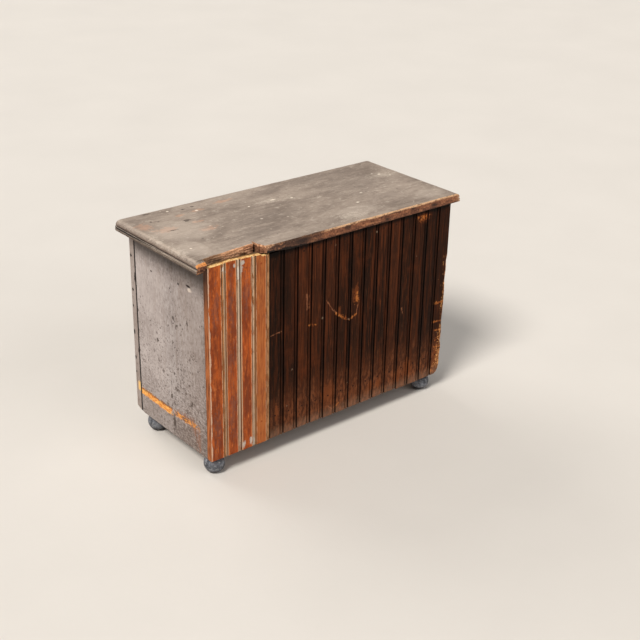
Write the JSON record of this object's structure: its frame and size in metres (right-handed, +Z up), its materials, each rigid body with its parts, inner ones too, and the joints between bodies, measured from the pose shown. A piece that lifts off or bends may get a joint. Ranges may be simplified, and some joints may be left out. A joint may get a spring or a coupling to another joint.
{
  "type": "parts cabinet",
  "caption": "Low wooden parts cabinet with a moulded top, beaded board back, ball feet and sliding drawers with cup pulls.",
  "frame": {"origin": "on the floor under the middle of the top", "axes": "+X along the length, to the right as seen from the front; +Y towards the beaded board back; +Z up"},
  "size_m": [0.801, 0.354, 0.547],
  "materials": {
    "worn_grey_top": "weathered grey paint, worn through in places",
    "grey_painted_wood": "thin grey paint over wood, scuffed and pitted",
    "grey_drawer_fronts": "thin grey paint over wood",
    "drawer_box_wood": "bare, handled wood",
    "bare_inner_wood": "bare, aged wood",
    "newer_bare_boards": "orange-brown bare boards with traces of old paint",
    "dark_old_boards": "dark brown, aged boards",
    "blue_grey_feet": "satin blue-grey paint",
    "iron_pulls": "dark, handled iron",
    "iron_nails": "rusted steel"
  },
  "bodies": {
    "case": {"top_slab": "worn_grey_top", "right_end_panel": "grey_painted_wood", "left_end_panel": "grey_painted_wood", "right_stile": "grey_painted_wood", "left_stile": "grey_painted_wood", "top_rail": "grey_painted_wood", "bottom_rail": "grey_painted_wood", "divider_rails": "grey_painted_wood", "mullions": "grey_painted_wood", "shelves": "bare_inner_wood", "bottom_board": "bare_inner_wood", "partitions": "bare_inner_wood", "guides_and_stops": "bare_inner_wood", "back_cleat": "bare_inner_wood", "corner_blocks": "bare_inner_wood", "new_back_board_1": "newer_bare_boards", "new_back_board_2": "newer_bare_boards", "old_back_board_1": "dark_old_boards", "old_back_board_2": "dark_old_boards", "old_back_board_3": "dark_old_boards", "old_back_board_4": "dark_old_boards", "old_back_board_5": "dark_old_boards", "old_back_board_6": "dark_old_boards", "old_back_board_7": "dark_old_boards", "back_nails": "iron_nails", "foot_right_back": "blue_grey_feet", "foot_right_front": "blue_grey_feet", "foot_left_back": "blue_grey_feet", "foot_left_front": "blue_grey_feet", "foot_bolts": "iron_nails"},
    "small_drawer_1": {"small_drawer_1_front": "grey_drawer_fronts", "small_drawer_1_box": "drawer_box_wood", "small_drawer_1_pull": "iron_pulls"},
    "small_drawer_2": {"small_drawer_2_front": "grey_drawer_fronts", "small_drawer_2_box": "drawer_box_wood", "small_drawer_2_pull": "iron_pulls"},
    "small_drawer_3": {"small_drawer_3_front": "grey_drawer_fronts", "small_drawer_3_box": "drawer_box_wood", "small_drawer_3_pull": "iron_pulls"},
    "small_drawer_4": {"small_drawer_4_front": "grey_drawer_fronts", "small_drawer_4_box": "drawer_box_wood", "small_drawer_4_pull": "iron_pulls"},
    "small_drawer_5": {"small_drawer_5_front": "grey_drawer_fronts", "small_drawer_5_box": "drawer_box_wood", "small_drawer_5_pull": "iron_pulls"},
    "small_drawer_6": {"small_drawer_6_front": "grey_drawer_fronts", "small_drawer_6_box": "drawer_box_wood", "small_drawer_6_pull": "iron_pulls"},
    "small_drawer_7": {"small_drawer_7_front": "grey_drawer_fronts", "small_drawer_7_box": "drawer_box_wood", "small_drawer_7_pull": "iron_pulls"},
    "small_drawer_8": {"small_drawer_8_front": "grey_drawer_fronts", "small_drawer_8_box": "drawer_box_wood", "small_drawer_8_pull": "iron_pulls"},
    "wide_drawer_1": {"wide_drawer_1_front": "grey_drawer_fronts", "wide_drawer_1_box": "drawer_box_wood", "wide_drawer_1_pulls": "iron_pulls"},
    "wide_drawer_2": {"wide_drawer_2_front": "grey_drawer_fronts", "wide_drawer_2_box": "drawer_box_wood", "wide_drawer_2_pulls": "iron_pulls"}
  },
  "joints": [
    {"name": "small_drawer_1_slide", "type": "slide", "parent": "case", "child": "small_drawer_1", "axis": [0, -1, 0], "range_m": [0, 0.22]},
    {"name": "small_drawer_2_slide", "type": "slide", "parent": "case", "child": "small_drawer_2", "axis": [0, -1, 0], "range_m": [0, 0.22]},
    {"name": "small_drawer_3_slide", "type": "slide", "parent": "case", "child": "small_drawer_3", "axis": [0, -1, 0], "range_m": [0, 0.22]},
    {"name": "small_drawer_4_slide", "type": "slide", "parent": "case", "child": "small_drawer_4", "axis": [0, -1, 0], "range_m": [0, 0.22]},
    {"name": "small_drawer_5_slide", "type": "slide", "parent": "case", "child": "small_drawer_5", "axis": [0, -1, 0], "range_m": [0, 0.22]},
    {"name": "small_drawer_6_slide", "type": "slide", "parent": "case", "child": "small_drawer_6", "axis": [0, -1, 0], "range_m": [0, 0.22]},
    {"name": "small_drawer_7_slide", "type": "slide", "parent": "case", "child": "small_drawer_7", "axis": [0, -1, 0], "range_m": [0, 0.22]},
    {"name": "small_drawer_8_slide", "type": "slide", "parent": "case", "child": "small_drawer_8", "axis": [0, -1, 0], "range_m": [0, 0.22]},
    {"name": "wide_drawer_1_slide", "type": "slide", "parent": "case", "child": "wide_drawer_1", "axis": [0, -1, 0], "range_m": [0, 0.22]},
    {"name": "wide_drawer_2_slide", "type": "slide", "parent": "case", "child": "wide_drawer_2", "axis": [0, -1, 0], "range_m": [0, 0.22]}
  ]
}
